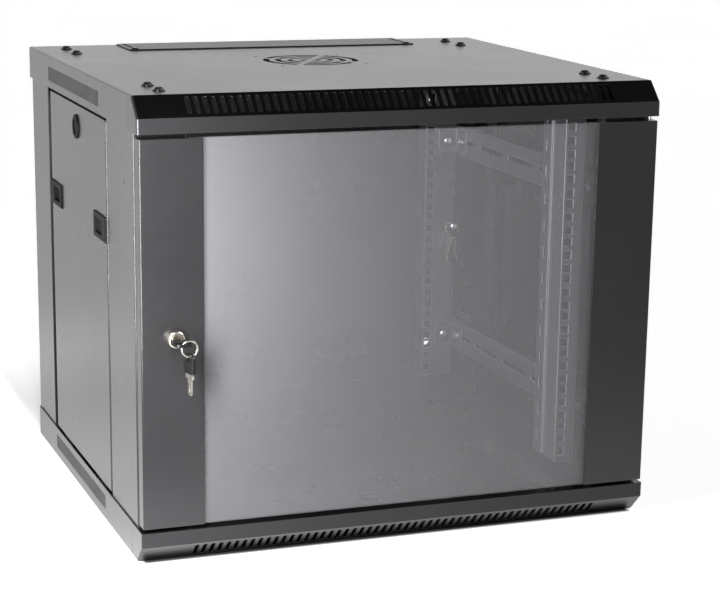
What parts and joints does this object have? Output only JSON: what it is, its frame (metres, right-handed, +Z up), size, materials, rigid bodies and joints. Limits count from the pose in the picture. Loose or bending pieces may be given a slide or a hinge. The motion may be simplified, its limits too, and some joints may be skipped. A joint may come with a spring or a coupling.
{
  "type": "wall mount network cabinet",
  "caption": "Low square equipment cabinet with a full-height glass door between folded stiles, slotted sloping hoods, lift-off side panels and 19-inch rails inside.",
  "frame": {"origin": "middle of the plan outline on the underside of the bottom cover", "axes": "+X to the right seen from the front, +Y to the wall side, +Z up; the door faces -Y"},
  "size_m": [0.6024, 0.5923, 0.5089],
  "materials": {
    "powder_coat": "fine-textured semi-gloss black powder coat",
    "rail_coat": "fine-textured black powder coat",
    "tempered_glass": "clear polished, faintly smoked",
    "black_rubber": "matt",
    "black_plastic": "moulded, lightly grained",
    "key_plastic": "moulded",
    "lock_chrome": "polished",
    "nickel_steel": "nickel plated",
    "zinc_steel": "bright zinc plated",
    "black_screws": "black zinc"
  },
  "bodies": {
    "case": {"bottom_cover": "powder_coat", "bottom_hood": "powder_coat", "cover_screws": "black_screws", "depth_bracket_lower_left": "rail_coat", "depth_bracket_lower_right": "rail_coat", "depth_bracket_upper_left": "rail_coat", "depth_bracket_upper_right": "rail_coat", "door_bumpers": "black_rubber", "front_post_left": "powder_coat", "front_post_right": "powder_coat", "hinge_pin_lower": "zinc_steel", "hinge_pin_upper": "zinc_steel", "m6_nuts": "zinc_steel", "mounting_rail_front_left": "rail_coat", "mounting_rail_front_right": "rail_coat", "mounting_rail_rear_left": "rail_coat", "mounting_rail_rear_right": "rail_coat", "rail_clips": "rail_coat", "rail_screws": "zinc_steel", "rear_panel": "powder_coat", "rear_panel_screws": "black_screws", "rear_post_left": "powder_coat", "rear_post_right": "powder_coat", "side_rail_left": "powder_coat", "side_rail_right": "powder_coat", "top_cover": "powder_coat", "top_hood": "powder_coat"},
    "door": {"door_stile_left": "powder_coat", "door_stile_right": "powder_coat", "door_pane": "tempered_glass", "pane_bonding_strips": "black_rubber", "hinge_bushes": "black_plastic", "door_lock_housing": "lock_chrome", "door_lock_nut": "lock_chrome"},
    "door_lock": {"door_lock_plug": "lock_chrome", "door_lock_cam": "zinc_steel"},
    "door_key": {"door_key_blade": "nickel_steel", "door_key_grip": "key_plastic"},
    "key_ring": {"key_ring": "nickel_steel"},
    "second_key": {"second_key_blade": "nickel_steel", "second_key_grip": "key_plastic"},
    "cable_entry_plate": {"cable_entry_plate": "powder_coat"},
    "spare_keys": {"spare_key_ring": "nickel_steel", "spare_keys": "nickel_steel"},
    "side_panel_left": {"side_panel_left": "powder_coat", "latch_housings_left": "black_plastic", "panel_lock_housing_left": "black_plastic"},
    "latch_front_left": {"latch_slider_front_left": "black_plastic"},
    "latch_rear_left": {"latch_slider_rear_left": "black_plastic"},
    "panel_lock_left": {"panel_lock_plug_left": "black_plastic", "panel_lock_cam_left": "zinc_steel"},
    "side_panel_right": {"side_panel_right": "powder_coat", "latch_housings_right": "black_plastic", "panel_lock_housing_right": "black_plastic"},
    "latch_front_right": {"latch_slider_front_right": "black_plastic"},
    "latch_rear_right": {"latch_slider_rear_right": "black_plastic"},
    "panel_lock_right": {"panel_lock_plug_right": "black_plastic", "panel_lock_cam_right": "zinc_steel"}
  },
  "joints": [
    {"name": "door_hinge", "type": "hinge", "parent": "case", "child": "door", "pos_m": [0.293, -0.2645, 0.2525], "axis": [0, 0, 1], "range_deg": [0, 180]},
    {"name": "door_lock_turn", "type": "hinge", "parent": "door", "child": "door_lock", "pos_m": [-0.2615, -0.27, 0.2515], "axis": [0, 1, 0], "range_deg": [0, 90]},
    {"name": "door_key_withdraw", "type": "slide", "parent": "door_lock", "child": "door_key", "axis": [0, -1, 0], "range_m": [0, 0.024]},
    {"name": "key_ring_swing", "type": "hinge", "parent": "door_key", "child": "key_ring", "pos_m": [-0.2615, -0.3077, 0.2515], "axis": [1, 0, 0], "range_deg": [-12, 12]},
    {"name": "second_key_swing", "type": "hinge", "parent": "key_ring", "child": "second_key", "pos_m": [-0.2546, -0.3077, 0.2372], "axis": [1, 0, 0], "range_deg": [-25, 10]},
    {"name": "cable_entry_slide", "type": "slide", "parent": "case", "child": "cable_entry_plate", "axis": [0, -1, 0], "range_m": [0, 0.06]},
    {"name": "spare_keys_swing", "type": "hinge", "parent": "case", "child": "spare_keys", "pos_m": [0.26, 0.2195, 0.258], "axis": [0, 1, 0], "range_deg": [-12, 12]},
    {"name": "side_panel_tilt_left", "type": "hinge", "parent": "case", "child": "side_panel_left", "pos_m": [-0.3, 0.0115, 0.038], "axis": [0, -1, 0], "range_deg": [0, 20]},
    {"name": "latch_slide_front_left", "type": "slide", "parent": "side_panel_left", "child": "latch_front_left", "axis": [0, -1, 0], "range_m": [0, 0.013]},
    {"name": "latch_slide_rear_left", "type": "slide", "parent": "side_panel_left", "child": "latch_rear_left", "axis": [0, 1, 0], "range_m": [0, 0.013]},
    {"name": "panel_lock_turn_left", "type": "hinge", "parent": "side_panel_left", "child": "panel_lock_left", "pos_m": [-0.296, 0.0115, 0.4386], "axis": [1, 0, 0], "range_deg": [0, 90]},
    {"name": "side_panel_tilt_right", "type": "hinge", "parent": "case", "child": "side_panel_right", "pos_m": [0.3, 0.0115, 0.038], "axis": [0, 1, 0], "range_deg": [0, 20]},
    {"name": "latch_slide_front_right", "type": "slide", "parent": "side_panel_right", "child": "latch_front_right", "axis": [0, -1, 0], "range_m": [0, 0.013]},
    {"name": "latch_slide_rear_right", "type": "slide", "parent": "side_panel_right", "child": "latch_rear_right", "axis": [0, 1, 0], "range_m": [0, 0.013]},
    {"name": "panel_lock_turn_right", "type": "hinge", "parent": "side_panel_right", "child": "panel_lock_right", "pos_m": [0.296, 0.0115, 0.4386], "axis": [1, 0, 0], "range_deg": [0, 90]}
  ]
}
